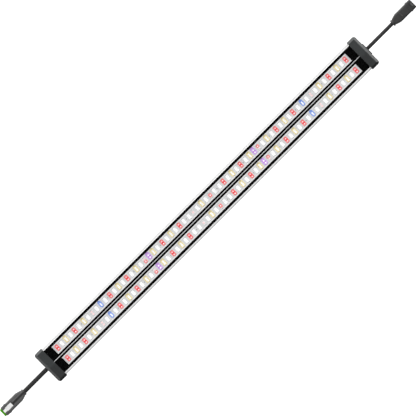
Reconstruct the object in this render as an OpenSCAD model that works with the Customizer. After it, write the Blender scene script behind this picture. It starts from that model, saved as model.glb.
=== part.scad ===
// LED aquarium light: a flat aluminium bar with two LED boards behind a clear cover, and a
// short lead with a connector at each end. The bar lies on its back with its LEDs facing up.
// +X runs along the bar to the socket end, +Y across it, +Z out of its lit face.
// The origin is the centre of the extrusion's back face.

/* [Bar] */
// Length over the two end caps
lamp_length = 450.8; // [446:0.1:480]
// Width of the aluminium extrusion
housing_width = 34.5; // [34.4:0.1:35]
// Height of the aluminium extrusion, from back to front
housing_height = 15.8; // [15.7:0.1:16.4]
// Thickness of the extrusion's side walls
side_wall = 1.6; // [1.5:0.1:1.8]
// Width of the rail on each side of the cover
rail_width = 2.3; // [2.2:0.05:2.5]
// Radius of the rails' outer edges
rail_edge_r = 1.3; // [0.8:0.1:1.4]
// Thickness of the clear cover
cover_thickness = 1.2; // [1:0.1:1.25]
// Width of the ridge between the two LED channels
ridge_width = 0.6; // [0.6:0.1:1]
// Distance between the two tapped hanger holes in the back
hanger_spacing = 240; // [100:10:400]

/* [End caps] */
// Length of each end cap
cap_length = 10.2; // [9:0.1:12]
// Width of each end cap
cap_width = 37.2; // [36.8:0.1:38]
// Height of each end cap
cap_height = 17.2; // [16.9:0.1:18]
// Width of the chamfer round a cap's front
cap_chamfer = 2.5; // [1:0.1:2.5]
// Radius of the caps' corners, seen from the front
cap_corner_r = 2.8; // [2.6:0.1:3.4]

/* [Boards and LEDs] */
// Width of each circuit board
board_width = 10; // [9.8:0.1:10.2]
// Distance from the bar's centre line to each board's centre line
board_offset = 7.4; // [7.3:0.05:7.5]
// Length of board that the bezel leaves open
window_length = 413.4; // [412:0.1:420]
// Distance between neighbouring LEDs of a group
led_pitch = 6; // [5.5:0.05:6.05]
// Extra space between two groups, where the chip resistors are
group_gap = 0.95; // [0.9:0.05:1.2]

/* [Leads] */
// Diameter of the lead on the plug side
plug_lead_d = 4.5; // [3.5:0.1:4.6]
// Diameter of the lead on the socket side
socket_lead_d = 3.8; // [3:0.1:4]

/* [Connectors] */
// Width of the connector bodies
connector_w = 10.2; // [9.2:0.1:10.4]
// Height of the connector bodies
connector_h = 8.6; // [8.6:0.1:9]
// Distance that the plug's lock slide travels
lock_travel = 1.2; // [1:0.1:1.2]

/* [Hidden] */
$fn = 48;

// Small clearances: between pieces that only have to fit, and between turned pieces in a bore
gap = 0.05;
bore_gap = 0.02;

// Stations along the bar, for the socket end; the plug end mirrors them
cap_face_x = lamp_length / 2;
cap_mouth_x = cap_face_x - cap_length;
cap_wall = 2.4;
cap_room_x = cap_face_x - cap_wall;
room_half_w = 10.6;
room_z0 = 3.4;
room_z1 = 14;
gasket_t = 0.8;
gasket_x = cap_mouth_x + 3.9;
gasket_frame = 0.4;
bar_end_x = gasket_x - gasket_t;
window_end_x = window_length / 2;
board_end_x = window_end_x + 7;
boss_t = 0.7;
boss_w = 14.2;
boss_h = 10.2;
boss_z = 3.4;
boss_edge_r = 1.5;

// Levels in the extrusion, from its back
pad_t = 3.2;
web_z = 7.6;
floor_z = 9;
under_lip_z = 12.2;
groove_z = 13.15;
groove_top_z = groove_z + cover_thickness + 2 * gap;
groove_depth = 1.5;
seal_w = 0.6;

// Across the extrusion's back, from the centre line
chamber_half_w = 4.5;
fin_t = 1;
fin_ys = [chamber_half_w, 7.5, 10.5];
hanger_hole_r = 1.65;
port_y = 14;
port_z = 3;
port_r = 2.2;
port_hole_r = 1.3;
screw_r = 1.25;
screw_head_r = 2.3;
screw_head_t = 1.3;
screw_reach = 8;
screw_gap = 0.15;
cross_recess = [1.4, 2.6, 0.6];
screw_seat_x = cap_face_x - screw_head_t - 0.2;

// Stack on the channel floor
tape_t = 0.2;
board_t = 1;
led_t = 0.8;
board_z = floor_z + tape_t;
led_z = board_z + board_t;
bezel_top_z = 12.9;
// Edges of the opening in the bezel, which laps over the board's edges
window_in = 2.5;
window_out = 12.2;
plate_roof_z = 11.5;
plate_z = 12.3;
plate_rim = 0.8;
plate_rim_in = 1.9;
plate_rim_out = 12.9;

// The left half of an LED row; the right half mirrors it about one warm white LED.
// W white, Y warm white, R red, r small red, B blue, V violet, F and f far red
LEFT_HALF = "RWYWRWYWFWBWRWYWRWYWrVYWRWYWRWWfW";
HALF = len(LEFT_HALF);
LED_COUNT = 2 * HALF + 1;
GROUP = 6;
MIDDLE_GROUP = 5;
GROUPS = 11;
// The far red LED next to the middle is on the left side only; the right side has a small red one
function mirrored(kind) = kind == "f" ? "r" : kind;
function led_kind(i) = i < HALF ? LEFT_HALF[i] : i == HALF ? "Y" : mirrored(LEFT_HALF[2 * HALF - i]);
// The middle group has one LED more than the others
function gaps_before(i) =
    let(first = MIDDLE_GROUP * GROUP) i < first + GROUP ? floor(i / GROUP) : floor((i - 1) / GROUP);
row_length = (LED_COUNT - 1) * led_pitch + (GROUPS - 1) * group_gap;
function led_x(i) = -row_length / 2 + i * led_pitch + gaps_before(i) * group_gap;
// Size of a package along the bar and across it
function led_size(kind) =
    kind == "R" ? [3.8, 6.5] : kind == "Y" ? [4.4, 7.3] : kind == "B" ? [3.8, 7.3] :
    kind == "V" ? [4.3, 7.9] : kind == "r" ? [3.7, 6] : [3, 5.7];
// How far a package's middle is from its board's centre line, towards +Y
function led_shift(kind) =
    kind == "R" ? 0.25 : kind == "Y" ? 0.5 : kind == "B" ? 0.7 : kind == "V" ? 0.75 : 0;

// Leads: height at the end caps and in the connectors, and the route between
exit_z = 8.5;
conn_z = connector_h / 2;
plug_rear_x = -257.2;
socket_rear_x = 261.3;
plug_route = [
    [-cap_face_x, 0, exit_z], [-229.5, 0, exit_z], [-236, 0, 7.6], [-242, 0, 6.1], [-248, 0, 4.8],
    [-253, 0, conn_z], [plug_rear_x, 0, conn_z]
];
socket_route = [
    [cap_face_x + boss_t, 0, exit_z], [230.5, 0, exit_z], [237, 0, 7.6], [243, 0, 6.1], [250, 0, 4.8],
    [256, 0, conn_z], [socket_rear_x, 0, conn_z]
];
lead_sides = 8;
grommet_r = 2.9;
grommet_flange_r = 3.9;
grommet_flange_t = 1.2;

// Cores inside an end cap: two for each board, soldered to its end
core_r = 0.5;
core_ys = [5.6, 9.2];
core_start_x = cap_face_x - 4.2;
solder_x = board_end_x - 3;
core_z = led_z + core_r + gap;

// Connectors: the contacts' places, measured from the bar's centre line and the floor
contact_ys = [-1.6, 1.6];
contact_zs = [2.6, 5];
contact_r = 0.55;
guide_r = 0.75;
contact_tube_r = 0.9;
contact_depth = 5.5;
pin_r = 0.5;
crimp_r = 0.7;
carrier_half = 3.6;
carrier_z0 = 1.3;
carrier_z1 = 6.3;
carrier_front = 2;
wire_room_half = 3;
seal_t = 2.5;
front_w = 10.6;
body_r = 2.2;
boot_mid = [8.8, 7.9];
waist_r = 3.2;
plug_collar_r = 3.5;
socket_collar_r = 3.6;
collar_t = 1.3;
shoulder_t = 1.9;

// Stations of the plug, from its lead to its front
plug_boot_x = -259.2;
plug_boot_mid_x = -262.2;
plug_body_x = -265.2;
plug_shoulder_x = -280;
plug_front_x = -285.8;
plug_nose_x = -287.9;
plug_seal_x = -268;
plug_tail_x = -271;
plug_crimp_x = -273.6;
plug_carrier_x = -276;
lock_slot_x = -273.5;
lock_neck_x = -282.5;

// Stations of the socket, from its lead to its front
socket_boot_x = 263.6;
socket_boot_mid_x = 266.5;
socket_body_x = 269.4;
socket_shoulder_x = 283.8;
socket_front_x = 290.4;
socket_cavity_x = 285.9;
socket_seal_x = 272;
socket_tail_x = 274.6;
socket_crimp_x = 277;
socket_carrier_x = 278;
socket_pin_x = 290;
socket_wall = 0.55;
ridge_x = 273.4;
ridge_h = 0.7;
ridge_half = 2;
catch_groove_x = 286.8;
catch_x = 287.5;
catch_end_x = 289.3;
catch_h = 1;
catch_half = 1.85;

// Plug lock slide, from its flanges to its face
lock_half = 2.2;
lock_neck_half = 1.5;
lock_flange_half = 2.8;
lock_floor_z = 7;
lock_lip_z = 7.6;
lock_face_z = 8.5;
lock_rib_t = 0.25;
lock_ribs = 6;
groove_ys = [-1, 0.3];
groove_t = 0.9;
groove_slope = 4;
// Higher than anything on a connector
above_z = 10;

// ---- Helpers ----

module block(low, high) {
    translate(low) cube(high - low);
}

// Extrudes a section drawn in Y and Z along X
module along_x(x0, x1) {
    translate([min(x0, x1), 0, 0]) rotate([90, 0, 90]) linear_extrude(abs(x1 - x0)) children();
}

module rod(x0, x1, y, z, r) {
    translate([min(x0, x1), y, z]) rotate([0, 90, 0]) cylinder(h = abs(x1 - x0), r = r);
}

// Rectangle with rounded corners, standing on its lower edge: r_low below, r_high above
module rounded(w, h, r_low, r_high) {
    for (s = [-1, 1]) {
        translate([s * (w / 2 - r_low), r_low]) circle(r_low);
        translate([s * (w / 2 - r_high), h - r_high]) circle(r_high);
    }
    translate([-w / 2 + r_low, 0]) square([w - 2 * r_low, h / 2]);
    translate([-w / 2 + r_high, h / 2]) square([w - 2 * r_high, h / 2]);
    translate([-w / 2, r_low]) square([w, h - r_low - r_high]);
}

// Rectangle standing on its lower edge: round corners below, chamfered ones above
module chamfered(w, h, r_low, cut) {
    for (s = [-1, 1]) translate([s * (w / 2 - r_low), r_low]) circle(r_low);
    translate([-w / 2 + r_low, 0]) square([w - 2 * r_low, 2 * r_low]);
    polygon([[-w / 2, r_low], [w / 2, r_low], [w / 2, h - cut], [w / 2 - cut, h], [-w / 2 + cut, h],
             [-w / 2, h - cut]]);
}

module at_both_ends() {
    children();
    mirror([1, 0, 0]) children();
}

module on_both_sides() {
    children();
    mirror([0, 1, 0]) children();
}

// A round tube of the given radius swept along points that don't run straight up
module swept(points, r, sides) {
    n = len(points);
    function unit(v) = v / norm(v);
    function heading(i) = unit(points[min(i + 1, n - 1)] - points[max(i - 1, 0)]);
    function side(i) = unit(cross(heading(i), [0, 0, 1]));
    rings = [
        for (i = [0:n - 1]) let(s = side(i), u = cross(s, heading(i)))
            for (k = [0:sides - 1]) points[i] + r * (cos(360 * k / sides) * s + sin(360 * k / sides) * u)
    ];
    walls = [
        for (i = [0:n - 2], k = [0:sides - 1]) let(j = (k + 1) % sides)
            [i * sides + k, i * sides + j, (i + 1) * sides + j, (i + 1) * sides + k]
    ];
    first_end = [for (k = [sides - 1:-1:0]) k];
    last_end = [for (k = [0:sides - 1]) (n - 1) * sides + k];
    polyhedron(rings, concat(walls, [first_end, last_end]));
}

// ---- Bar ----

module housing_section() {
    half = housing_width / 2;
    mouth = half - rail_width;
    wall_y = half - side_wall;
    difference() {
        rounded(housing_width, housing_height, 0.6, rail_edge_r);
        translate([-mouth, groove_z]) square([2 * mouth, housing_height]);
        translate([-mouth - groove_depth, groove_z])
            square([2 * (mouth + groove_depth), groove_top_z - groove_z]);
        translate([-chamber_half_w, pad_t]) square([2 * chamber_half_w, web_z - pad_t]);
        for (s = [0, 1]) mirror([s, 0]) {
            translate([ridge_width / 2, floor_z]) square([mouth - ridge_width / 2, groove_z - floor_z + 1]);
            translate([mouth - 1, floor_z]) square([wall_y - mouth + 1, under_lip_z - floor_z]);
            for (i = [0:len(fin_ys) - 2]) let(from = fin_ys[i] + fin_t)
                translate([from, -1]) square([fin_ys[i + 1] - from, web_z + 1]);
            difference() {
                translate([fin_ys[2] + fin_t, -1]) square([wall_y - fin_ys[2] - fin_t, web_z + 1]);
                translate([port_y, port_z]) circle(port_r);
            }
            translate([port_y, port_z]) circle(port_hole_r);
        }
    }
}

// The extrusion, with two tapped holes for hangers in the pad along the middle of its back
module housing_extrusion() {
    color([0.86, 0.87, 0.88]) difference() {
        along_x(-bar_end_x, bar_end_x) housing_section();
        for (s = [-1, 1]) translate([s * hanger_spacing / 2, 0, -1])
            cylinder(h = pad_t + 2, r = hanger_hole_r);
    }
}

module clear_cover() {
    half = housing_width / 2 - rail_width + groove_depth - seal_w;
    color([0.9, 0.95, 1, 0.3])
        block([-bar_end_x, -half, groove_z + gap], [bar_end_x, half, groove_z + gap + cover_thickness]);
}

module cover_seals() {
    from = housing_width / 2 - rail_width + groove_depth - seal_w;
    color([0.85, 0.85, 0.85]) on_both_sides()
        block([-bar_end_x, from, groove_z + gap], [bar_end_x, from + seal_w, groove_top_z - gap]);
}

// The bezel of the channel on the +Y side: a frame round the board with a plate at each end
module bezel() {
    in = ridge_width / 2 + gap;
    out = housing_width / 2 - rail_width - gap;
    flange = housing_width / 2 - side_wall - gap;
    board_in = board_offset - board_width / 2 - gap;
    board_out = board_offset + board_width / 2 + gap;
    under_z = led_z + gap;
    end = bar_end_x - gap;
    color([0.03, 0.03, 0.03]) difference() {
        union() {
            block([-end, in, floor_z], [end, out, bezel_top_z]);
            block([-end, out - 1, floor_z], [end, flange, under_lip_z - gap]);
        }
        block([-window_end_x, window_in, floor_z - 1], [window_end_x, window_out, bezel_top_z + 1]);
        block([-window_end_x, board_in, floor_z - 1], [window_end_x, board_out, under_z]);
        at_both_ends() {
            block([window_end_x - 1, board_in, floor_z - 1], [end + 1, board_out, plate_roof_z]);
            block([window_end_x + plate_rim, plate_rim_in, plate_z],
                  [end + 1, plate_rim_out, bezel_top_z + 1]);
        }
    }
}

module bezel_a() {
    bezel();
}

module bezel_b() {
    mirror([0, 1, 0]) bezel();
}

module board_plate(side, z, t, end, tint) {
    color(tint) translate([-end, side * board_offset - board_width / 2, z]) cube([2 * end, board_width, t]);
}

module board_a() {
    board_plate(1, board_z, board_t, board_end_x, [0.95, 0.95, 0.94]);
}

module board_b() {
    board_plate(-1, board_z, board_t, board_end_x, [0.95, 0.95, 0.94]);
}

module thermal_tape_a() {
    board_plate(1, floor_z, tape_t, board_end_x, [0.8, 0.8, 0.78]);
}

module thermal_tape_b() {
    board_plate(-1, floor_z, tape_t, board_end_x, [0.8, 0.8, 0.78]);
}

// Every LED package of one kind, in both rows
module leds(kinds, tint) {
    color(tint) for (i = [0:LED_COUNT - 1], side = [-1, 1])
        if (len(search(led_kind(i), kinds)) > 0) let(size = led_size(led_kind(i)))
            translate([led_x(i), side * board_offset + led_shift(led_kind(i)), led_z])
                translate(-size / 2) cube([size[0], size[1], led_t]);
}

module leds_white() {
    leds("W", [1, 1, 1]);
}

module leds_warm_white() {
    leds("Y", [0.95, 0.87, 0.62]);
}

module leds_red() {
    leds("R", [0.95, 0.35, 0.38]);
}

module leds_small_red() {
    leds("r", [0.95, 0.75, 0.76]);
}

module leds_blue() {
    leds("B", [0.45, 0.55, 0.9]);
}

module leds_violet() {
    leds("V", [0.72, 0.5, 0.85]);
}

module leds_far_red() {
    leds("Ff", [0.97, 0.9, 0.9]);
}

// One resistor in each wider gap of both rows
module chip_resistors() {
    size = [0.8, 1.6, 0.45];
    color([0.35, 0.35, 0.36]) for (i = [1:LED_COUNT - 1], side = [-1, 1])
        if (gaps_before(i) > gaps_before(i - 1))
            translate([(led_x(i - 1) + led_x(i) - size[0]) / 2, side * board_offset - size[1] / 2, led_z])
                cube(size);
}

module solder_joints() {
    color([0.75, 0.76, 0.78]) at_both_ends() on_both_sides() for (y = core_ys)
        translate([solder_x, y, led_z]) intersection() {
            sphere(0.9);
            translate([-2, -2, 0]) cube([2 - gap, 4, 2]);
        }
}

// ---- End caps ----

// The cap of the socket end, without its holes: the chamfer goes round the corners of its outer end
module cap_shell(boss) {
    corner_x = cap_face_x - cap_corner_r;
    flat = cap_width / 2 - cap_corner_r;
    chamfer_z = cap_height - cap_chamfer;
    intersection() {
        along_x(cap_mouth_x, cap_face_x) chamfered(cap_width, cap_height, 1, cap_chamfer);
        union() {
            block([cap_mouth_x, -cap_width / 2, 0], [corner_x, cap_width / 2, cap_height]);
            rotate([90, 0, 0]) translate([0, 0, -flat]) linear_extrude(2 * flat)
                polygon([[cap_mouth_x, 0], [cap_face_x, 0], [cap_face_x, chamfer_z],
                         [cap_face_x - cap_chamfer, cap_height], [cap_mouth_x, cap_height]]);
            for (s = [-1, 1]) translate([corner_x, s * flat, 0]) {
                cylinder(h = chamfer_z, r = cap_corner_r);
                translate([0, 0, chamfer_z])
                    cylinder(h = cap_chamfer, r1 = cap_corner_r, r2 = cap_corner_r - cap_chamfer);
            }
        }
    }
    if (boss) along_x(cap_face_x - 1, cap_face_x + boss_t)
        translate([0, boss_z]) rounded(boss_w, boss_h, boss_edge_r, boss_edge_r);
}

module end_cap(boss) {
    pocket_half = housing_width / 2 + gap;
    color([0.24, 0.25, 0.25]) difference() {
        cap_shell(boss);
        along_x(cap_mouth_x - 1, gasket_x) translate([0, -1])
            rounded(2 * pocket_half, housing_height + gap + 1, 0.6, rail_edge_r);
        block([gasket_x - 1, -room_half_w, room_z0], [cap_room_x, room_half_w, room_z1]);
        rod(gasket_x, cap_face_x + 2, 0, exit_z, grommet_r + bore_gap);
        for (s = [-1, 1]) {
            rod(gasket_x - 1, cap_face_x + 1, s * port_y, port_z, screw_r + screw_gap);
            rod(screw_seat_x, cap_face_x + 1, s * port_y, port_z, screw_head_r + screw_gap);
        }
    }
}

module end_cap_plug_side() {
    mirror([1, 0, 0]) end_cap(false);
}

module end_cap_socket_side() {
    end_cap(true);
}

module gasket() {
    color([0.15, 0.15, 0.15]) difference() {
        along_x(bar_end_x, gasket_x) rounded(housing_width - 0.2, housing_height - 0.1, 0.6, rail_edge_r);
        block([bar_end_x - 1, -room_half_w + gasket_frame, room_z0 + 2],
              [gasket_x + 1, room_half_w - gasket_frame, room_z1 - 1.4]);
        for (s = [-1, 1]) rod(bar_end_x - 1, gasket_x + 1, s * port_y, port_z, screw_r + screw_gap);
    }
}

module gasket_plug_side() {
    mirror([1, 0, 0]) gasket();
}

module gasket_socket_side() {
    gasket();
}

// Pan-head self-tapping screws with a cross recess
module cap_screws() {
    color([0.7, 0.71, 0.73]) at_both_ends() on_both_sides() difference() {
        union() {
            rod(bar_end_x - screw_reach, screw_seat_x, port_y, port_z, screw_r);
            rod(screw_seat_x, screw_seat_x + screw_head_t, port_y, port_z, screw_head_r);
        }
        for (turn = [0, 90]) translate([screw_seat_x + screw_head_t, port_y, port_z])
            rotate([turn, 0, 0]) cube(cross_recess, center = true);
    }
}

module grommet(lead_d, face_x) {
    color([0.12, 0.12, 0.12]) difference() {
        union() {
            rod(cap_room_x, face_x, 0, exit_z, grommet_r);
            rod(cap_room_x - grommet_flange_t, cap_room_x, 0, exit_z, grommet_flange_r);
        }
        rod(cap_room_x - 3, face_x + 1, 0, exit_z, lead_d / 2);
    }
}

module grommet_plug_side() {
    mirror([1, 0, 0]) grommet(plug_lead_d, cap_face_x);
}

module grommet_socket_side() {
    grommet(socket_lead_d, cap_face_x + boss_t);
}

// ---- Leads ----

// The end of a lead inside the cap of the socket end, with its four cores
module inner_lead(lead_d, face_x) {
    color([0.2, 0.2, 0.2]) rod(core_start_x, face_x, 0, exit_z, lead_d / 2 - bore_gap);
    color([0.8, 0.2, 0.2]) on_both_sides() for (i = [0, 1]) {
        start_y = 0.65;
        start_z = exit_z + (i == 0 ? 0.65 : -0.65);
        turn_y = core_ys[i] - 0.9;
        swept([
            [core_start_x - gap, start_y, start_z],
            [core_start_x - 0.6, start_y + 0.5, start_z],
            [core_start_x - 1.0, turn_y / 2, start_z + 0.4],
            [core_start_x - 1.2, turn_y, core_z - 0.5],
            [core_start_x - 2.2, core_ys[i], core_z],
            [bar_end_x - 1, core_ys[i], core_z],
            [solder_x, core_ys[i], core_z]
        ], core_r, lead_sides);
    }
}

module inner_lead_plug_side() {
    mirror([1, 0, 0]) inner_lead(plug_lead_d, cap_face_x);
}

module inner_lead_socket_side() {
    inner_lead(socket_lead_d, cap_face_x + boss_t);
}

module lead_plug_side() {
    color([0.2, 0.2, 0.2]) swept(plug_route, plug_lead_d / 2, lead_sides);
}

module lead_socket_side() {
    color([0.2, 0.2, 0.2]) swept(socket_route, socket_lead_d / 2, lead_sides);
}

// ---- Connectors ----

// Body and boot of a connector, from its lead end to its front
module connector_shell(rear_x, boot_x, mid_x, body_x, shoulder_x, front_x, collar_r) {
    toward = sign(front_x - rear_x);
    slice = 0.1;
    rod(rear_x, rear_x + toward * collar_t, 0, conn_z, collar_r);
    rod(rear_x, boot_x + toward, 0, conn_z, waist_r);
    hull() {
        rod(boot_x, boot_x + toward * slice, 0, conn_z, waist_r + 0.15, $fn = 32);
        along_x(mid_x, mid_x + toward * slice)
            translate([0, conn_z - boot_mid[1] / 2])
                rounded(boot_mid[0], boot_mid[1], body_r, body_r, $fn = 32);
    }
    hull() {
        along_x(mid_x, mid_x + toward * slice)
            translate([0, conn_z - boot_mid[1] / 2])
                rounded(boot_mid[0], boot_mid[1], body_r, body_r, $fn = 32);
        along_x(body_x, body_x + toward * slice) rounded(connector_w, connector_h, body_r, body_r, $fn = 32);
    }
    along_x(body_x, shoulder_x) rounded(connector_w, connector_h, body_r, body_r);
    along_x(shoulder_x, front_x) rounded(front_w, connector_h, body_r, body_r);
    along_x(shoulder_x, shoulder_x + toward * shoulder_t)
        translate([0, 0.2]) rounded(front_w + 0.6, connector_h + 0.2, body_r, body_r);
}

module at_contacts() {
    for (y = contact_ys, z = contact_zs) translate([0, y, z]) children();
}

module carrier_block(x0, x1, inset) {
    block([min(x0, x1), -carrier_half + inset, carrier_z0 + inset],
          [max(x0, x1), carrier_half - inset, carrier_z1 - inset]);
}

module wire_room(x0, x1) {
    block([min(x0, x1), -wire_room_half, carrier_z0], [max(x0, x1), wire_room_half, carrier_z1]);
}

module plug_body() {
    color([0.27, 0.27, 0.28]) difference() {
        connector_shell(plug_rear_x, plug_boot_x, plug_boot_mid_x, plug_body_x, plug_shoulder_x,
                        plug_front_x, plug_collar_r);
        carrier_block(plug_carrier_x, plug_front_x - 1, 0);
        seal_pocket(plug_seal_x, plug_seal_x - seal_t, 0);
        wire_room(plug_seal_x - seal_t + 1, plug_carrier_x - 1);
        rod(plug_rear_x + 1, plug_seal_x - 1, 0, conn_z, plug_lead_d / 2);
        // Slot of the lock slide, narrow between the jaws at the front and undercut behind them
        block([lock_neck_x, -lock_half - gap, lock_floor_z], [lock_slot_x, lock_half + gap, above_z]);
        block([plug_front_x - 1, -lock_neck_half - gap, lock_floor_z],
              [lock_slot_x, lock_neck_half + gap, above_z]);
        block([lock_neck_x, -lock_flange_half - gap, lock_floor_z],
              [lock_slot_x, lock_flange_half + gap, lock_lip_z]);
        // Groove from the slot to the boot, sloping down along the boot's taper
        block([lock_slot_x - 1, groove_ys[0], connector_h - groove_t], [plug_body_x, groove_ys[1], above_z]);
        translate([plug_body_x, 0, connector_h - groove_t]) rotate([0, groove_slope, 0])
            block([-0.3, groove_ys[0], 0], [7, groove_ys[1], 3]);
    }
}

module plug_front_lock() {
    color([0.3, 0.6, 0.12]) difference() {
        union() {
            along_x(plug_front_x, plug_nose_x) translate([0, 0.4]) rounded(8.8, connector_h - 0.8, 2, 2);
            carrier_block(plug_front_x, plug_front_x + carrier_front, gap);
        }
        at_contacts() rod(plug_nose_x - 1, plug_front_x + carrier_front + 1, 0, 0, guide_r);
    }
}

module plug_carrier() {
    color([0.1, 0.1, 0.1]) difference() {
        carrier_block(plug_front_x + carrier_front + gap, plug_carrier_x - gap, gap);
        at_contacts() rod(plug_front_x, plug_carrier_x + 1, 0, 0, contact_tube_r + bore_gap);
    }
}

module plug_contacts() {
    tube_x = plug_front_x + carrier_front + 0.2;
    color([0.85, 0.7, 0.35]) at_contacts() difference() {
        union() {
            rod(tube_x, plug_carrier_x, 0, 0, contact_tube_r);
            rod(plug_carrier_x, plug_crimp_x, 0, 0, crimp_r);
        }
        rod(tube_x - 1, tube_x + contact_depth, 0, 0, contact_r);
    }
}

// Square pocket for the wire seal, centred on the lead
module seal_pocket(x0, x1, inset) {
    reach = wire_room_half - inset;
    block([min(x0, x1), -reach, conn_z - reach], [max(x0, x1), reach, conn_z + reach]);
}

module wire_seal(seal_x, toward, lead_d) {
    color([0.8, 0.35, 0.15]) difference() {
        seal_pocket(seal_x + toward * gap, seal_x + toward * (seal_t - gap), gap);
        rod(seal_x - 3, seal_x + 3, 0, conn_z, lead_d / 2);
    }
}

module plug_wire_seal() {
    wire_seal(plug_seal_x, -1, plug_lead_d);
}

// The lead's end inside a connector, with a core to each contact
module connector_tail(rear_x, end_x, contact_x, lead_d) {
    toward = sign(end_x - rear_x);
    color([0.2, 0.2, 0.2]) rod(rear_x, end_x, 0, conn_z, lead_d / 2 - bore_gap);
    color([0.8, 0.2, 0.2]) for (y = contact_ys, z = contact_zs) {
        start = [0.5 * sign(y), conn_z + (z > conn_z ? 0.45 : -0.85)];
        swept([
            [end_x + toward * gap, start[0], start[1]],
            [end_x + toward * 0.6, start[0], start[1]],
            [contact_x - toward * 0.7, y, z],
            [contact_x - toward * gap, y, z]
        ], 0.4, lead_sides);
    }
}

module plug_tail() {
    connector_tail(plug_rear_x, plug_tail_x, plug_crimp_x, plug_lead_d);
}

// White slide with finger ribs; it locks the mated plug and travels towards the lead
module plug_lock_slide() {
    rear_x = lock_slot_x - lock_travel - 0.1;
    front_x = lock_neck_x + gap;
    pitch = (rear_x - front_x) / (lock_ribs + 0.5);
    color([0.95, 0.95, 0.95]) {
        block([front_x, -lock_flange_half, lock_floor_z + gap],
              [rear_x, lock_flange_half, lock_lip_z - gap]);
        block([front_x, -lock_half, lock_floor_z + gap], [rear_x, lock_half, lock_face_z]);
        block([plug_front_x + gap, -lock_neck_half, lock_floor_z + gap],
              [rear_x, lock_neck_half, lock_face_z]);
        for (i = [0:lock_ribs - 1])
            block([front_x + (i + 0.5) * pitch, -lock_half + 0.3, lock_face_z - 0.1],
                  [front_x + (i + 1) * pitch, lock_half - 0.3, lock_face_z + lock_rib_t]);
    }
}

// A rib across the top of a connector, upright at x0 and sloping down to x1
module ramp(x0, x1, height, half) {
    foot = connector_h - 0.2;
    rotate([90, 0, 0]) translate([0, 0, -half]) linear_extrude(2 * half)
        polygon([[x0, foot], [x0, connector_h + height], [x1, connector_h], [x1, foot]]);
}

module socket_body() {
    color([0.24, 0.24, 0.25]) difference() {
        union() {
            connector_shell(socket_rear_x, socket_boot_x, socket_boot_mid_x, socket_body_x,
                            socket_shoulder_x, socket_front_x, socket_collar_r);
            ramp(ridge_x, ridge_x + ridge_h, ridge_h, ridge_half);
            // Catch for a mating plug's latch
            ramp(catch_x, catch_end_x, catch_h, catch_half);
        }
        along_x(socket_cavity_x, socket_front_x + 1)
            translate([0, socket_wall])
                rounded(front_w - 2 * socket_wall, connector_h - 2 * socket_wall, 1.7, 1.7);
        carrier_block(socket_carrier_x, socket_cavity_x + 1, 0);
        seal_pocket(socket_seal_x, socket_seal_x + seal_t, 0);
        wire_room(socket_seal_x + seal_t - 1, socket_carrier_x + 1);
        rod(socket_rear_x - 1, socket_seal_x + 1, 0, conn_z, socket_lead_d / 2);
        block([catch_groove_x, -catch_half, connector_h - 0.3], [catch_x, catch_half, above_z]);
    }
}

module socket_carrier() {
    color([0.1, 0.1, 0.1]) difference() {
        carrier_block(socket_carrier_x + gap, socket_cavity_x, gap);
        at_contacts() rod(socket_carrier_x - 1, socket_cavity_x + 1, 0, 0, crimp_r + bore_gap);
    }
}

module socket_pins() {
    color([0.85, 0.7, 0.35]) at_contacts() {
        rod(socket_crimp_x, socket_cavity_x, 0, 0, crimp_r);
        rod(socket_cavity_x, socket_pin_x, 0, 0, pin_r);
    }
}

module socket_wire_seal() {
    wire_seal(socket_seal_x, 1, socket_lead_d);
}

module socket_tail() {
    connector_tail(socket_rear_x, socket_tail_x, socket_crimp_x, socket_lead_d);
}

housing_extrusion();
clear_cover();
cover_seals();
bezel_a();
bezel_b();
board_a();
board_b();
thermal_tape_a();
thermal_tape_b();
leds_white();
leds_warm_white();
leds_red();
leds_small_red();
leds_blue();
leds_violet();
leds_far_red();
chip_resistors();
solder_joints();
end_cap_plug_side();
end_cap_socket_side();
gasket_plug_side();
gasket_socket_side();
cap_screws();
grommet_plug_side();
grommet_socket_side();
inner_lead_plug_side();
inner_lead_socket_side();
lead_plug_side();
lead_socket_side();
plug_body();
plug_front_lock();
plug_carrier();
plug_contacts();
plug_wire_seal();
plug_tail();
plug_lock_slide();
socket_body();
socket_carrier();
socket_pins();
socket_wire_seal();
socket_tail();
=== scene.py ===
"""The looks of the LED aquarium light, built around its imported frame."""
import math

import bpy
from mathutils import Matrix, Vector


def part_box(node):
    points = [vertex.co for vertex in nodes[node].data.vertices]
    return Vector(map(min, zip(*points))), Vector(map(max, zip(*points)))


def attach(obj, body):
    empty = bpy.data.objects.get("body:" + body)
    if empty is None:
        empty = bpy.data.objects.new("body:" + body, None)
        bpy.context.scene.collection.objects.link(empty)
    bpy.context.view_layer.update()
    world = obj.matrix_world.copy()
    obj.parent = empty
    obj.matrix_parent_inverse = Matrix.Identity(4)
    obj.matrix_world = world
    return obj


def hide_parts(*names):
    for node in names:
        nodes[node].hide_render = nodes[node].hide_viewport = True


MM = 0.001
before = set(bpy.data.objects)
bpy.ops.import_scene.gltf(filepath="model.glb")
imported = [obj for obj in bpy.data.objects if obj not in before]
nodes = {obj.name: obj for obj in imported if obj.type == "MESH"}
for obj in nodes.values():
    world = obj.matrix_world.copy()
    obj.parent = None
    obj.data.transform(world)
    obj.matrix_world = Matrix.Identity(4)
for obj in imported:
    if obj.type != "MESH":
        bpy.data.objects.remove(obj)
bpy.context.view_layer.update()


# ---- Camera, light and floor ----

IMAGE_PIXELS = 416
MM_PER_PIXEL = 0.9956
BAR_TURN = math.radians(-45)
CAMERA_DISTANCE = 12.0
CAMERA_OFFSET = Vector((1.5 * MM, -0.05 * MM))

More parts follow.
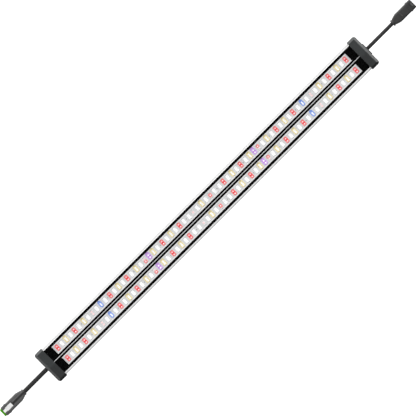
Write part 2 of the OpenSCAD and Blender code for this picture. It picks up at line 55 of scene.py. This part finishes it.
# The sky's radiance, and patches in it: azimuth (from +X towards +Y) and elevation of the middle,
# the angles from the middle where the patch starts to fade and where it ends, and its radiance.
# Later ones lie on top.
SKY = 0.93
SKY_PATCHES = {
    "window_at_socket_end": (0, 0, 22, 55, 3.5),
    "window_along_the_bar": (90, 0, 22, 55, 2.8),
    "window_at_plug_end": (180, 0, 22, 50, 1.5),
    "dark_wall": (270, 0, 30, 60, 0.1),
    "dark_corner_at_socket_end": (312, 0, 8, 26, 0.03),
    "dark_corner_at_plug_end": (136, 0, 6, 20, 0.3),
    "overhead": (90, 90, 9, 14, 0.02),
}
# What the camera sees where nothing is
BACKDROP = 0.95
# Half the floor's width, in metres, and how far it lies below the lamp
FLOOR_REACH = 6
FLOOR_DROP = 0.05 * MM


def make_camera():
    """Straight above the lit face; the bar runs from the lower left to the upper right."""
    front_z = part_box("end_cap_plug_side")[1].z
    data = bpy.data.cameras.new("Camera")
    view_width = IMAGE_PIXELS * MM_PER_PIXEL * MM
    data.sensor_width = 36
    data.lens = data.sensor_width * CAMERA_DISTANCE / view_width
    data.clip_start = 0.1
    data.clip_end = 60
    camera = bpy.data.objects.new("Camera", data)
    camera.location = (CAMERA_OFFSET.x, CAMERA_OFFSET.y, front_z + CAMERA_DISTANCE)
    camera.rotation_euler = (0, 0, BAR_TURN)
    bpy.context.scene.collection.objects.link(camera)
    bpy.context.scene.camera = camera


def add_area_light(name, azimuth, elevation, distance, size, power):
    """A soft square light aimed at the bar."""
    data = bpy.data.lights.new(name, "AREA")
    data.shape = "SQUARE"
    data.size = size
    data.energy = power
    light = bpy.data.objects.new(name, data)
    light.location = distance * heading(azimuth, elevation)
    light.rotation_euler = (-light.location).to_track_quat("-Z", "Y").to_euler()
    bpy.context.scene.collection.objects.link(light)


def make_world():
    """Softboxes round the horizon and a dark patch straight overhead, which the flat cover mirrors."""
    world = bpy.data.worlds.new("World")
    world.use_nodes = True
    bpy.context.scene.world = world
    tree = world.node_tree
    direction = tree.nodes.new("ShaderNodeTexCoord").outputs["Generated"]
    sky = tree.nodes.new("ShaderNodeRGB").outputs[0]
    sky.default_value = (SKY, SKY, SKY, 1)
    for azimuth, elevation, full, end, radiance in SKY_PATCHES.values():
        near = tree.nodes.new("ShaderNodeVectorMath")
        near.operation = "DOT_PRODUCT"
        near.inputs[1].default_value = heading(azimuth, elevation)
        tree.links.new(direction, near.inputs[0])
        fade = tree.nodes.new("ShaderNodeMapRange")
        fade.interpolation_type = "SMOOTHSTEP"
        fade.inputs["From Min"].default_value = math.cos(math.radians(end))
        fade.inputs["From Max"].default_value = math.cos(math.radians(full))
        tree.links.new(near.outputs["Value"], fade.inputs["Value"])
        sky = mixed(tree, fade.outputs["Result"], sky, radiance)
    seen = tree.nodes.new("ShaderNodeLightPath").outputs["Is Camera Ray"]
    tree.links.new(mixed(tree, seen, sky, BACKDROP), tree.nodes["Background"].inputs["Color"])


def heading(azimuth, elevation):
    """A unit vector; azimuth is counted from +X towards +Y, both in degrees."""
    a, e = math.radians(azimuth), math.radians(elevation)
    return Vector((math.cos(a) * math.cos(e), math.sin(a) * math.cos(e), math.sin(e)))


def mixed(tree, factor, below, value):
    """Lays a grey of the given value over another colour."""
    mix = tree.nodes.new("ShaderNodeMixRGB")
    mix.inputs["Color2"].default_value = (value, value, value, 1)
    tree.links.new(factor, mix.inputs["Fac"])
    tree.links.new(below, mix.inputs["Color1"])
    return mix.outputs["Color"]


def make_floor():
    """A white floor that glows by itself, so it shows no shadow and throws no light on the lamp."""
    mesh = bpy.data.meshes.new("floor")
    corners = [(x * FLOOR_REACH, y * FLOOR_REACH, 0) for x, y in ((-1, -1), (1, -1), (1, 1), (-1, 1))]
    mesh.from_pydata(corners, [], [(0, 1, 2, 3)])
    floor = bpy.data.objects.new("floor", mesh)
    floor.location.z = -FLOOR_DROP
    bpy.context.scene.collection.objects.link(floor)
    floor.data.materials.append(floor_material())
    for sees in ("visible_diffuse", "visible_glossy", "visible_transmission", "visible_shadow"):
        setattr(floor, sees, False)


# ---- Materials ----

# Half the extrusion's width, and the painted shade across its rails and the end caps: pairs of a
# place from 0 at the -Y edge to 1 at the +Y edge, and a factor on the colour
BAR_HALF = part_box("housing_extrusion")[1].y
# The rails' painted shade: darker on the -Y rail, darkest at the +Y rail's rounded outer edge
RAIL_PAINTED_SHADE = [(0.02, 0.6), (0.046, 0.78), (0.9, 1), (0.962, 1), (0.97, 0.45)]
# The end caps' painted shade: darker on their -Y side
CAP_PAINTED_SHADE = [(0.41, 0.6), (0.48, 1)]
# The same for the plug: painted shade in its groove and painted highlights on the ridges beside it
PLUG_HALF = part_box("plug_body")[1].y
PLUG_PAINTED_SHADE_AND_HIGHLIGHT = [(0.33, 1.05), (0.41, 0.45), (0.54, 0.4), (0.62, 1.3), (0.68, 1.1), (0.76, 1)]
# Where the boards lie, how bright their lacquer is, how strongly it glows as painted light, and the
# painted light that lightens it from their middle (0) to their edges (1), against the bezels' shade
board_low, board_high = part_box("board_a")
BOARD_MIDDLE = (board_low.y + board_high.y) / 2
BOARD_HALF = (board_high.y - board_low.y) / 2
BOARD_COLOUR = 0.37
BOARD_PAINTED_GLOW = 0.49
BOARD_EDGE_PAINTED_LIGHT = [(0.72, 0.92), (0.79, 1.2)]
# What a clear sheet mirrors when looked at squarely
MIRROR_SHARE = 0.04


class Shader:
    """A Principled material and short ways to drive its sockets from nodes."""

    def __init__(self, name, **values):
        self.material = bpy.data.materials.new(name)
        self.material.use_nodes = True
        self.tree = self.material.node_tree
        self.shader = self.tree.nodes["Principled BSDF"]
        for socket, value in values.items():
            self.shader.inputs[socket.replace("_", " ")].default_value = value
        self.place = self.node("ShaderNodeTexCoord").outputs["Object"]

    def node(self, kind, **settings):
        made = self.tree.nodes.new(kind)
        for key, value in settings.items():
            setattr(made, key, value)
        return made

    def link(self, output, target):
        self.tree.links.new(output, target)

    def stretched(self, scale):
        """Object coordinates scaled by three numbers."""
        mapping = self.node("ShaderNodeMapping")
        mapping.inputs["Scale"].default_value = scale
        self.link(self.place, mapping.inputs["Vector"])
        return mapping.outputs["Vector"]

    def noise(self, scale, detail=3.0, stretch=(1, 1, 1)):
        noise = self.node("ShaderNodeTexNoise")
        noise.inputs["Scale"].default_value = scale
        noise.inputs["Detail"].default_value = detail
        self.link(self.stretched(stretch), noise.inputs["Vector"])
        return noise.outputs["Fac"]

    def stops(self, factor, stops):
        """Colours along a factor, from pairs of a position and a colour."""
        ramp = self.node("ShaderNodeValToRGB")
        elements = ramp.color_ramp.elements
        while len(elements) < len(stops):
            elements.new(0.5)
        for element, (position, colour) in zip(elements, stops):
            element.position = position
            element.color = (*colour, 1)
        self.link(factor, ramp.inputs[0])
        return ramp.outputs["Color"]

    def mottle(self, factor, low, high):
        """A colour that a noise moves between two others."""
        return self.stops(factor, [(0.3, low), (0.7, high)])

    def shades(self, factor, shades):
        """Greys along a factor, from pairs of a position and a value."""
        return self.stops(factor, [(position, grey(value)) for position, value in shades])

    def product(self, first, second):
        mix = self.node("ShaderNodeMixRGB", blend_type="MULTIPLY")
        mix.inputs["Fac"].default_value = 1
        self.link(first, mix.inputs["Color1"])
        self.link(second, mix.inputs["Color2"])
        return mix.outputs["Color"]

    def y_place(self):
        """How far a point lies from the bar's middle plane, in metres."""
        split = self.node("ShaderNodeSeparateXYZ")
        self.link(self.place, split.inputs[0])
        return split.outputs["Y"]

    def across(self, half_width):
        """A factor that runs from 0 at the -Y edge to 1 at the +Y edge of a thing on the middle."""
        return self.math("MULTIPLY_ADD", self.y_place(), 0.5 / half_width, 0.5)

    def colour(self, output):
        self.link(output, self.shader.inputs["Base Color"])

    def spread(self, factor, low, high):
        """A number between low and high, by a factor from 0 to 1."""
        spread = self.node("ShaderNodeMapRange")
        spread.inputs["To Min"].default_value = low
        spread.inputs["To Max"].default_value = high
        self.link(factor, spread.inputs["Value"])
        return spread.outputs["Result"]

    def math(self, operation, first, second, third=None):
        made = self.node("ShaderNodeMath", operation=operation)
        self.link(first, made.inputs[0])
        made.inputs[1].default_value = second
        if third is not None:
            made.inputs[2].default_value = third
        return made.outputs[0]

    def from_lines(self, offset):
        """Distance from the two lines along the bar that lie an offset from its middle, in metres."""
        from_middle = self.math("ABSOLUTE", self.y_place(), 0)
        return self.math("ABSOLUTE", self.math("SUBTRACT", from_middle, offset), 0)

    def roughness(self, factor, low, high):
        self.link(self.spread(factor, low, high), self.shader.inputs["Roughness"])

    def bump(self, height, strength, distance):
        bump = self.node("ShaderNodeBump")
        bump.inputs["Strength"].default_value = strength
        bump.inputs["Distance"].default_value = distance
        self.link(height, bump.inputs["Height"])
        self.link(bump.outputs["Normal"], self.shader.inputs["Normal"])


def grey(value):
    return (value, value, value)


def floor_material():
    made = Shader("studio_floor", Roughness=0.9, Specular_IOR_Level=0.1, Emission_Color=(1, 1, 1, 1),
                  Emission_Strength=1.05)
    made.colour(made.mottle(made.noise(3), grey(0.30), grey(0.32)))
    return made.material


def moulded(name, dark, light, rough=(0.4, 0.55), specular=0.5, shades=None, half_width=BAR_HALF):
    """Moulded plastic or rubber: faint colour mottle and a fine grain in its gloss and relief, and
    painted shade across it where shades are given.
    """
    made = Shader(name, Specular_IOR_Level=specular)
    colour = made.mottle(made.noise(260), dark, light)
    if shades:
        colour = made.product(colour, made.shades(made.across(half_width), shades))
    made.colour(colour)
    made.roughness(made.noise(900), *rough)
    made.bump(made.noise(6000, detail=2), 0.5, 0.02 * MM)
    return made.material


def aluminium():
    """Clear anodised extrusion: drawing lines along the bar, and painted shade across its width."""
    made = Shader("clear_anodised_aluminium", Metallic=0.15, Specular_IOR_Level=0.3)
    lines = made.noise(700, detail=4, stretch=(0.02, 1, 1))
    # The colour times the painted shade across the width
    made.colour(made.product(made.mottle(lines, grey(0.84), grey(0.9)),
                             made.shades(made.across(BAR_HALF), RAIL_PAINTED_SHADE)))
    made.roughness(lines, 0.38, 0.52)
    made.bump(lines, 0.25, 0.01 * MM)
    return made.material


def clear_plate():
    """Polished clear sheet: see-through, and more of a mirror at flat angles on both its faces."""
    made = Shader("clear_polycarbonate")
    tree = made.tree
    tree.nodes.remove(made.shader)
    see = made.node("ShaderNodeBsdfTransparent")
    gloss = made.node("ShaderNodeBsdfGlossy")
    mix = made.node("ShaderNodeMixShader")
    slant = made.node("ShaderNodeLayerWeight").outputs["Facing"]
    steep = made.math("POWER", slant, 5)
    share = made.math("MULTIPLY_ADD", steep, 1 - MIRROR_SHARE, MIRROR_SHARE)
    haze = made.noise(90)
    made.link(made.mottle(haze, (0.985, 0.988, 0.99), (0.992, 0.994, 0.996)), see.inputs["Color"])
    made.link(made.spread(haze, 0.02, 0.05), gloss.inputs["Roughness"])
    made.link(share, mix.inputs[0])
    made.link(see.outputs[0], mix.inputs[1])
    made.link(gloss.outputs[0], mix.inputs[2])
    made.link(mix.outputs[0], tree.nodes["Material Output"].inputs["Surface"])
    return made.material


def metal(name, dark, light, rough=(0.2, 0.35)):
    """Bare metal with a fine grain."""
    made = Shader(name, Metallic=1.0)
    grain = made.noise(1500)
    made.colour(made.mottle(grain, dark, light))
    made.roughness(grain, *rough)
    made.bump(grain, 0.2, 0.01 * MM)
    return made.material


def lit(name, colour):
    """A translucent resin of one colour that reflects a share of it and glows with another."""
    made = Shader(name, Emission_Color=(*colour, 1), Emission_Strength=LED_GLOW)
    cloud = made.noise(1800)
    dark, light = ([factor * LED_BODY * c for c in colour] for factor in (0.96, 1.04))
    made.colour(made.mottle(cloud, dark, light))
    made.roughness(cloud, 0.25, 0.4)
    made.bump(made.noise(4000, detail=2), 0.15, 0.01 * MM)
    return made.material


def solder_mask():
    """White board lacquer that glows all over as painted light, with painted light lightening each
    edge.
    """
    made = Shader("white_solder_mask", Specular_IOR_Level=0.3, Emission_Strength=BOARD_PAINTED_GLOW)
    from_middle = made.math("DIVIDE", made.from_lines(BOARD_MIDDLE), BOARD_HALF)
    # Painted light that lightens the lacquer and its glow towards each edge
    edge = made.shades(from_middle, BOARD_EDGE_PAINTED_LIGHT)
    lacquer = made.mottle(made.noise(260), grey(BOARD_COLOUR * 0.97), grey(BOARD_COLOUR * 1.03))
    made.colour(made.product(lacquer, edge))
    made.link(edge, made.shader.inputs["Emission Color"])
    made.roughness(made.noise(900), 0.3, 0.42)
    made.bump(edge, 0.4, 0.04 * MM)
    return made.material


# Colours of the LEDs' resins, and the shares of them that they reflect and glow with
LED_COLOURS = {
    "white_frame": (0.98, 0.98, 0.98),
    "white_lens": (1, 1, 1),
    "warm_frame": (0.80, 0.69, 0.39),
    "warm_end": (0.77, 0.65, 0.32),
    "blue_frame": (0.235, 0.36, 0.80),
    "red_frame": (0.87, 0.22, 0.22),
    "red_band": (0.83, 0.045, 0.06),
    "pink_die": (1, 0.75, 0.75),
    "violet_frame": (0.61, 0.37, 0.79),
    "violet_band": (0.50, 0.17, 0.70),
    "pale_frame": (0.70, 0.69, 0.69),
    "pale_die": (0.97, 0.68, 0.68),
}
LED_BODY = 0.8
LED_GLOW = 0.38


def make_materials():
    """Every material by a short name."""
    made = {
        "aluminium": aluminium(),
        "cover": clear_plate(),
        "bezel": moulded("black_bezel_plastic", grey(0.0008), grey(0.0014), rough=(0.5, 0.65),
                         specular=0.02),
        "board": solder_mask(),
        "tape": moulded("thermal_tape", grey(0.5), grey(0.56), rough=(0.7, 0.8)),
        "cap": moulded("dark_cap_plastic", (0.0187, 0.0217, 0.0222), (0.0227, 0.0257, 0.0262),
                       rough=(0.3, 0.4), shades=CAP_PAINTED_SHADE),
        "plug_plastic": moulded("dark_grey_plug_plastic", grey(0.066), grey(0.080), rough=(0.5, 0.6),
                                specular=0.2, shades=PLUG_PAINTED_SHADE_AND_HIGHLIGHT, half_width=PLUG_HALF),
        "socket_plastic": moulded("dark_socket_plastic", grey(0.022), grey(0.028), rough=(0.4, 0.5),
                                  specular=0.35),
        "jacket": moulded("lead_jacket", grey(0.018), grey(0.024), rough=(0.55, 0.65),
                          specular=0.2),
        "rubber": moulded("black_rubber", grey(0.014), grey(0.02), rough=(0.6, 0.75)),
        "silicone": moulded("grey_silicone", grey(0.45), grey(0.52), rough=(0.55, 0.65)),
        "inner_black": moulded("inner_black_plastic", grey(0.01), grey(0.015)),
        "green": moulded("green_plastic", (0.052, 0.23, 0.003), (0.06, 0.27, 0.004),
                         rough=(0.3, 0.42), specular=0.15),
        "slide": moulded("white_slide_plastic", grey(0.72), grey(0.77), rough=(0.3, 0.4)),
        "brass": metal("gold_plated_contact", (0.72, 0.52, 0.2), (0.86, 0.66, 0.3)),
        "zinc": metal("bright_zinc", grey(0.55), grey(0.68), rough=(0.25, 0.4)),
        "solder": metal("solder", grey(0.6), grey(0.75), rough=(0.15, 0.3)),
        "tin": moulded("tinned_ends", grey(0.6), grey(0.7), rough=(0.25, 0.4)),
        "ceramic": moulded("resistor_ceramic", grey(0.34), grey(0.40), rough=(0.3, 0.45)),
    }
    for name, colour in LED_COLOURS.items():
        made[name] = lit("led_" + name, colour)
    return made


# ---- Small tools for pieces ----

# Points on each corner of an outline, and steps up a dome
CORNER_POINTS = 5
DOME_LEVELS = 4


def set_material(node, material):
    obj = nodes[node]
    obj.data.materials.clear()
    obj.data.materials.append(material)
    for polygon in obj.data.polygons:
        polygon.material_index = 0


def solids(node):
    """The lowest and highest corner of each separate solid in a CAD node, in millimetres."""
    mesh = nodes[node].data
    places = [tuple(round(c / MM, 3) for c in vertex.co) for vertex in mesh.vertices]
    parent = {place: place for place in places}

    def root(place):
        while parent[place] != place:
            parent[place] = parent[parent[place]]
            place = parent[place]
        return place

    for edge in mesh.edges:
        a, b = (root(places[i]) for i in edge.vertices)
        parent[a] = b
    groups = {}
    for place in parent:
        groups.setdefault(root(place), []).append(place)
    boxes = [[Vector(map(end, zip(*group))) for end in (min, max)] for group in groups.values()]
    return sorted(boxes, key=lambda box: tuple(box[0]))


def outline(x, y, width, height, radius, z):
    """A level rounded rectangle as a ring of points, in millimetres."""
    radius = min(radius, width / 2, height / 2)
    ring = []
    for sx, sy, turn in ((1, 1, 0), (-1, 1, 90), (-1, -1, 180), (1, -1, 270)):
        for k in range(CORNER_POINTS):
            a = math.radians(turn + 90 * k / (CORNER_POINTS - 1))
            ring.append((x + sx * (width / 2 - radius) + radius * math.cos(a),
                         y + sy * (height / 2 - radius) + radius * math.sin(a), z))
    return ring


class Builder:
    """Collects lofted shapes, in millimetres, into one piece with a material for each shape."""

    def __init__(self, look):
        self.look = look
        self.points = []
        self.faces = []
        self.names = []

    def loft(self, rings, name):
        """Joins rings from the bottom up and closes the last one."""
        start, count = len(self.points), len(rings[0])
        for ring in rings:
            self.points += ring
        for level in range(len(rings) - 1):
            for k in range(count):
                a = start + level * count + k
                b = start + level * count + (k + 1) % count
                self.faces.append((a, b, b + count, a + count))
        top = start + (len(rings) - 1) * count
        self.faces.append(tuple(range(top, top + count)))
        self.names += [name] * ((len(rings) - 1) * count + 1)

    def dome(self, x, y, width, height, radius, z, rise, name):
        """A crowned pad: flat sided at its foot and nearly level at its top."""
        rings = []
        for level in range(DOME_LEVELS + 1):
            a = math.radians(78 * level / DOME_LEVELS)
            inset = rise * 1.6 * (1 - math.cos(a))
            rings.append(outline(x, y, width - 2 * inset, height - 2 * inset,
                                 max(radius - inset, 0.05), z + rise * math.sin(a)))
        self.loft(rings, name)

    def block(self, low, high, edge, name):
        """A box whose upper edges are rounded off."""
        x, y = (low.x + high.x) / 2, (low.y + high.y) / 2
        width, height = high.x - low.x, high.y - low.y
        rings = [outline(x, y, width, height, edge, low.z)]
        # How far each ring lies in from the sides and down from the top, in edges
        for inset, down in ((0, 1), (0.3, 0.3), (1, 0)):
            rings.append(outline(x, y, width - 2 * inset * edge, height - 2 * inset * edge, edge,
                                 high.z - down * edge))
        self.loft(rings, name)

    def finish(self, piece_name, node):
        """Makes the piece, which rides the lamp and replaces a CAD node."""
        mesh = bpy.data.meshes.new(piece_name)
        mesh.from_pydata([Vector(p) * MM for p in self.points], [], self.faces)
        order = list(dict.fromkeys(self.names))
        for name in order:
            mesh.materials.append(self.look[name])
        for polygon, name in zip(mesh.polygons, self.names):
            polygon.material_index = order.index(name)
        mesh.shade_smooth()
        mesh.set_sharp_from_angle(angle=math.radians(40))
        piece = bpy.data.objects.new(piece_name, mesh)
        bpy.context.scene.collection.objects.link(piece)
        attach(piece, "lamp")
        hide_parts(node)


# ---- LEDs and resistors ----

# What shows on top of each kind of LED, measured from the middle of its package, in millimetres:
# the frame's colour and corner radius, the resin pool inside the frame (y, width, height, colour),
# then what lies in the pool: bands (y, width, height, colour) and dies (y, diameter, colour)
LED_LOOKS = {
    "leds_white": (("white_frame", 0.8), (0, 2.3, 4.8, "white_lens"), [], []),
    "leds_warm_white": (("warm_frame", 0.7), (-0.5, 1.8, 4.8, "white_lens"),
                        [(3.2, 3.4, 0.6, "warm_end")], []),
    "leds_blue": (("blue_frame", 1.5), (-0.8, 1.5, 3.8, "white_lens"), [], []),
    "leds_red": (("red_frame", 0.8), (-0.25, 3.2, 5.4, "red_frame"),
                 [(-0.25, 3.1, 1.4, "red_band")],
                 [(1.25, 1.3, "pink_die"), (-1.7, 1.2, "white_lens")]),
    "leds_violet": (("violet_frame", 1.0), (-0.75, 3.6, 5.6, "violet_frame"),
                    [(-0.75, 3.5, 1.2, "violet_band")],
                    [(0.55, 1.8, "white_lens"), (-2.05, 1.8, "white_lens")]),
    "leds_far_red": (("pale_frame", 0.8), (0, 2.5, 5.0, "pale_frame"), [],
                     [(1.3, 2.1, "pale_die"), (-1.3, 2.1, "pale_die")]),
    "leds_small_red": (("pale_frame", 0.8), (0, 3.4, 5.6, "pale_frame"),
                       [(1.25, 3.5, 3.3, "red_frame")],
                       [(1.2, 1.3, "white_lens"), (-1.4, 1.7, "pale_die")]),
}
# What lies in the pool instead, for LEDs of two kinds that are nearer to the bar's middle than this
NEAR_MIDDLE = 40
MIDDLE_LOOKS = {
    "leds_far_red": ([], [(0, 2.2, "pale_die")]),
    "leds_small_red": ([(0, 3.5, 4.0, "red_frame")], [(0, 1.4, "white_lens")]),
}
# In millimetres: the rim's bevel, the pool's depth, the crowns' rise, the solder fillets' half width
# and half length, and their height
FRAME_EDGE = 0.12
POOL_DEPTH = 0.12
POOL_RISE = 0.1
DIE_RISE = 0.12
FILLET_REACH = Vector((0.9, 0.25, 0))
FILLET_HEIGHT = 0.12
# The length of a chip resistor's tinned ends, and how far its body lies inside them
RESISTOR_END = 0.35
RESISTOR_STEP = 0.03


def make_leds(node, look):
    """The packages of one kind: a frame with a bevelled rim, a crowned resin pool, and its dies."""
    (frame_name, corner), pool, bands, dies = LED_LOOKS[node]
    pool_y, pool_width, pool_height, pool_name = pool
    builder = Builder(look)
    for low, high in solids(node):
        x, y = (low.x + high.x) / 2, (low.y + high.y) / 2
        width, height = high.x - low.x, high.y - low.y
        rim = high.z - POOL_DEPTH
        builder.loft([
            outline(x, y, width, height, corner, low.z),
            outline(x, y, width, height, corner, high.z - FRAME_EDGE),
            outline(x, y, width - 2 * FRAME_EDGE, height - 2 * FRAME_EDGE, corner, high.z),
            outline(x, y + pool_y, pool_width + 0.1, pool_height + 0.1, 0.6, high.z),
            outline(x, y + pool_y, pool_width, pool_height, 0.55, rim),
        ], frame_name)
        builder.dome(x, y + pool_y, pool_width - 0.02, pool_height - 0.02, 0.5, rim - 0.02,
                     POOL_RISE, pool_name)
        shown_bands, shown_dies = bands, dies
        if abs(x) < NEAR_MIDDLE and node in MIDDLE_LOOKS:
            shown_bands, shown_dies = MIDDLE_LOOKS[node]
        # The small red LEDs at the plug end are mounted the other way round
        turn = -1 if node == "leds_small_red" and x < 0 else 1
        for band_y, band_width, band_height, name in shown_bands:
            in_pool = abs(band_y - pool_y) < pool_height / 2
            level = rim if in_pool else high.z - 0.04
            builder.dome(x, y + turn * band_y, band_width, band_height, 0.3, level, POOL_RISE, name)
        for die_y, diameter, name in shown_dies:
            builder.dome(x, y + turn * die_y, diameter, diameter, diameter / 2, rim + 0.04,
                         DIE_RISE, name)
        for end in (low.y, high.y):
            foot = Vector((x, end, low.z))
            top = foot + FILLET_REACH + Vector((0, 0, FILLET_HEIGHT))
            builder.block(foot - FILLET_REACH, top, 0.05, "tin")
    builder.finish(node + "_packages", node)


def make_resistors(look):
    """Chip resistors: a ceramic body between two tinned ends."""
    builder = Builder(look)
    for low, high in solids("chip_resistors"):
        builder.block(low + Vector((RESISTOR_STEP, RESISTOR_END, 0)),
                      high - Vector((RESISTOR_STEP, RESISTOR_END, RESISTOR_STEP)), 0.04, "ceramic")
        builder.block(low, Vector((high.x, low.y + RESISTOR_END, high.z)), 0.08, "tin")
        builder.block(Vector((low.x, high.y - RESISTOR_END, low.z)), high, 0.08, "tin")
    builder.finish("resistor_chips", "chip_resistors")


# ---- Leads ----

# Each lead's route and diameter, in millimetres, and the pieces on its end
LEADS = {
    "plug_side": {
        "route": [(-225.4, 0, 8.5), (-229.5, 0, 8.5), (-236, 0, 7.6), (-242, 0, 6.1),
                  (-248, 0, 4.8), (-253, 0, 4.3), (-257.2, 0, 4.3)],
        "diameter": 4.5,
        "pieces": ["plug_body", "plug_front_lock", "plug_carrier", "plug_contacts",
                   "plug_wire_seal", "plug_tail", "plug_lock_slide"],
    },
    "socket_side": {
        "route": [(226.1, 0, 8.5), (230.5, 0, 8.5), (237, 0, 7.6), (243, 0, 6.1),
                  (250, 0, 4.8), (256, 0, 4.3), (261.3, 0, 4.3)],
        "diameter": 3.8,
        "pieces": ["socket_body", "socket_carrier", "socket_pins", "socket_wire_seal", "socket_tail"],
    },
}


def smooth_route(points, steps=4):
    """Points on a smooth curve through the route, a few between each two of its points."""
    points = [Vector(p) * MM for p in points]
    ends = [2 * points[0] - points[1], *points, 2 * points[-1] - points[-2]]
    smooth = []
    for a, b, c, d in zip(ends, ends[1:], ends[2:], ends[3:]):
        for i in range(steps):
            t = i / steps
            smooth.append(0.5 * (2 * b + (c - a) * t + (2 * a - 5 * b + 4 * c - d) * t ** 2
                                 + (3 * b - a - 3 * c + d) * t ** 3))
    return [*smooth, points[-1]]


def make_lead(side, material):
    """A lead as a round tube along its route."""
    facts = LEADS[side]
    points = smooth_route(facts["route"])
    curve = bpy.data.curves.new("lead_" + side, "CURVE")
    curve.dimensions = "3D"
    curve.bevel_depth = facts["diameter"] * MM / 2
    curve.bevel_resolution = 6
    spline = curve.splines.new("POLY")
    spline.points.add(len(points) - 1)
    for spot, p in zip(spline.points, points):
        spot.co = (*p, 1)
    spline.use_smooth = True
    curve.use_fill_caps = True
    lead = bpy.data.objects.new("flex_" + side, curve)
    bpy.context.scene.collection.objects.link(lead)
    curve.materials.append(material)
    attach(lead, "lamp")
    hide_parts("lead_" + side)


# ---- Making it ----

bpy.context.scene.view_settings.view_transform = "Standard"
make_camera()
make_world()
make_floor()
add_area_light("key", azimuth=80, elevation=50, distance=2.2, size=0.9, power=6)

look = make_materials()
for side in LEADS:
    make_lead(side, look["jacket"])

# The CAD nodes that keep their own shape, by material
PLAIN = {
    "aluminium": ["housing_extrusion"],
    "cover": ["clear_cover"],
    "silicone": ["cover_seals", "gasket_plug_side", "gasket_socket_side", "plug_wire_seal",
                 "socket_wire_seal"],
    "bezel": ["bezel_a", "bezel_b"],
    "board": ["board_a", "board_b"],
    "tape": ["thermal_tape_a", "thermal_tape_b"],
    "cap": ["end_cap_plug_side", "end_cap_socket_side"],
    "zinc": ["cap_screws"],
    "rubber": ["grommet_plug_side", "grommet_socket_side"],
    "jacket": ["inner_lead_plug_side", "inner_lead_socket_side", "plug_tail", "socket_tail"],
    "plug_plastic": ["plug_body"],
    "socket_plastic": ["socket_body"],
    "green": ["plug_front_lock"],
    "inner_black": ["plug_carrier", "socket_carrier"],
    "brass": ["plug_contacts", "socket_pins"],
    "slide": ["plug_lock_slide"],
    "solder": ["solder_joints"],
}
for name, members in PLAIN.items():
    for member in members:
        set_material(member, look[name])
for node in LED_LOOKS:
    make_leds(node, look)
make_resistors(look)
